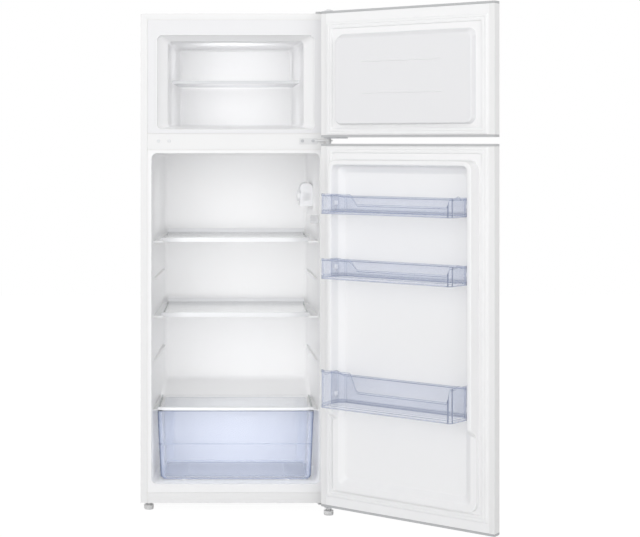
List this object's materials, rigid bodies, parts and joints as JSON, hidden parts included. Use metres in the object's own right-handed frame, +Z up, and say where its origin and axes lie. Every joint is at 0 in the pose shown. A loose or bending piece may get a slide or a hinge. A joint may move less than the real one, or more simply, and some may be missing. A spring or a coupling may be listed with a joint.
{
  "type": "top freezer refrigerator",
  "caption": "Free-standing white refrigerator with a freezer above, both doors open, with glass shelves, a vegetable drawer and pale blue door bins.",
  "frame": {"origin": "on the floor, below the middle of the whole appliance as it stands with both doors open", "axes": "+Z up, +Y towards the back of the cabinet, +X towards the hinge side"},
  "size_m": [0.9747, 0.9075, 1.4492],
  "materials": {
    "white_enamel": "smooth satin enamel",
    "back_paint": "matt grey paint",
    "zinc_steel": "zinc plated",
    "foam": "rigid insulating foam",
    "liner_plastic": "vacuum formed, slight gloss",
    "trim_plastic": "moulded, slight gloss",
    "foot_plastic": "moulded, matt",
    "hinge_paint": "light grey paint",
    "black_enamel": "black enamel",
    "black_plastic": "moulded, matt",
    "black_rubber": "matt",
    "copper_tube": "drawn tube, dulled",
    "aluminium_tube": "drawn tube",
    "bulb_glass": "clear",
    "shelf_glass": "clear toughened glass",
    "ice_blue_plastic": "transparent, pale blue",
    "gasket_vinyl": "soft, matt"
  },
  "bodies": {
    "cabinet": {"cabinet_shell": "white_enamel", "back_panel": "back_paint", "recess_panel": "zinc_steel", "cabinet_foam": "foam", "freezer_liner": "liner_plastic", "fridge_liner": "liner_plastic", "shelf_ribs": "liner_plastic", "mid_rail": "white_enamel", "base_plate": "white_enamel", "compressor_rail": "zinc_steel", "rear_feet": "foot_plastic", "bottom_hinge": "hinge_paint", "middle_hinge": "hinge_paint", "top_hinge": "hinge_paint", "hinge_screws": "zinc_steel", "plug_caps": "trim_plastic", "compressor": "black_enamel", "compressor_mounts": "black_rubber", "relay_box": "black_plastic", "condenser_tube": "black_enamel", "condenser_wires": "black_enamel", "condenser_spacers": "black_plastic", "drier": "copper_tube", "drip_tray": "trim_plastic", "cord_gland": "black_rubber", "discharge_pipe": "copper_tube", "suction_pipe": "copper_tube", "freezer_evaporator": "aluminium_tube", "fridge_evaporator": "aluminium_tube", "drain_tube": "trim_plastic", "lamp_housing": "trim_plastic", "lamp_bulb": "bulb_glass", "switch_housing": "trim_plastic"},
    "foot_left": {"foot_left": "foot_plastic"},
    "foot_right": {"foot_right": "foot_plastic"},
    "thermostat_knob": {"thermostat_knob": "trim_plastic"},
    "switch_plunger": {"switch_plunger": "trim_plastic"},
    "freezer_shelf": {"freezer_shelf": "trim_plastic"},
    "shelf1": {"shelf1_glass": "shelf_glass", "shelf1_trim": "trim_plastic"},
    "shelf2": {"shelf2_glass": "shelf_glass", "shelf2_trim": "trim_plastic"},
    "drawer_cover": {"cover_glass": "shelf_glass", "cover_trim": "trim_plastic"},
    "crisper": {"crisper_drawer": "ice_blue_plastic"},
    "freezer_door": {"freezer_door_skin": "white_enamel", "freezer_door_caps": "trim_plastic", "freezer_door_foam": "foam", "freezer_door_liner": "liner_plastic", "freezer_door_gasket": "gasket_vinyl", "freezer_door_stop": "zinc_steel"},
    "fridge_door": {"fridge_door_skin": "white_enamel", "fridge_door_caps": "trim_plastic", "fridge_door_foam": "foam", "fridge_door_liner": "liner_plastic", "fridge_door_gasket": "gasket_vinyl", "fridge_door_stop": "zinc_steel"},
    "bin_upper": {"bin_upper": "ice_blue_plastic"},
    "bin_middle": {"bin_middle": "ice_blue_plastic"},
    "bin_lower": {"bin_lower": "ice_blue_plastic"}
  },
  "joints": [
    {"name": "freezer_door_hinge", "type": "hinge", "parent": "cabinet", "child": "freezer_door", "pos_m": [0.05414, -0.05983, 1.08], "axis": [0, 0, 1], "range_deg": [-142.7, 5]},
    {"name": "fridge_door_hinge", "type": "hinge", "parent": "cabinet", "child": "fridge_door", "pos_m": [0.05414, -0.05983, 0.028], "axis": [0, 0, 1], "range_deg": [-142.7, 5]},
    {"name": "crisper_slide", "type": "slide", "parent": "cabinet", "child": "crisper", "axis": [0, -1, 0], "range_m": [0, 0.2]},
    {"name": "drawer_cover_slide", "type": "slide", "parent": "cabinet", "child": "drawer_cover", "axis": [0, -1, 0], "range_m": [0, 0.15]},
    {"name": "shelf1_slide", "type": "slide", "parent": "cabinet", "child": "shelf1", "axis": [0, -1, 0], "range_m": [0, 0.3]},
    {"name": "shelf2_slide", "type": "slide", "parent": "cabinet", "child": "shelf2", "axis": [0, -1, 0], "range_m": [0, 0.3]},
    {"name": "freezer_shelf_slide", "type": "slide", "parent": "cabinet", "child": "freezer_shelf", "axis": [0, -1, 0], "range_m": [0, 0.25]},
    {"name": "bin_upper_lift", "type": "slide", "parent": "fridge_door", "child": "bin_upper", "axis": [0, 0, 1], "range_m": [0, 0.04]},
    {"name": "bin_middle_lift", "type": "slide", "parent": "fridge_door", "child": "bin_middle", "axis": [0, 0, 1], "range_m": [0, 0.04]},
    {"name": "bin_lower_lift", "type": "slide", "parent": "fridge_door", "child": "bin_lower", "axis": [0, 0, 1], "range_m": [0, 0.04]},
    {"name": "thermostat_turn", "type": "hinge", "parent": "cabinet", "child": "thermostat_knob", "pos_m": [-0.01593, 0.22917, 0.905], "axis": [-1, 0, 0], "range_deg": [0, 300]},
    {"name": "light_switch", "type": "slide", "parent": "cabinet", "child": "switch_plunger", "axis": [0, 1, 0], "range_m": [0, 0.005], "stiffness_N_per_m": 200},
    {"name": "foot_left_turn", "type": "hinge", "parent": "cabinet", "child": "foot_left", "pos_m": [-0.46536, 0.01017, 0], "axis": [0, 0, 1], "continuous": true},
    {"name": "foot_right_turn", "type": "hinge", "parent": "cabinet", "child": "foot_right", "pos_m": [0.05414, -0.05983, 0], "axis": [0, 0, 1], "continuous": true}
  ]
}
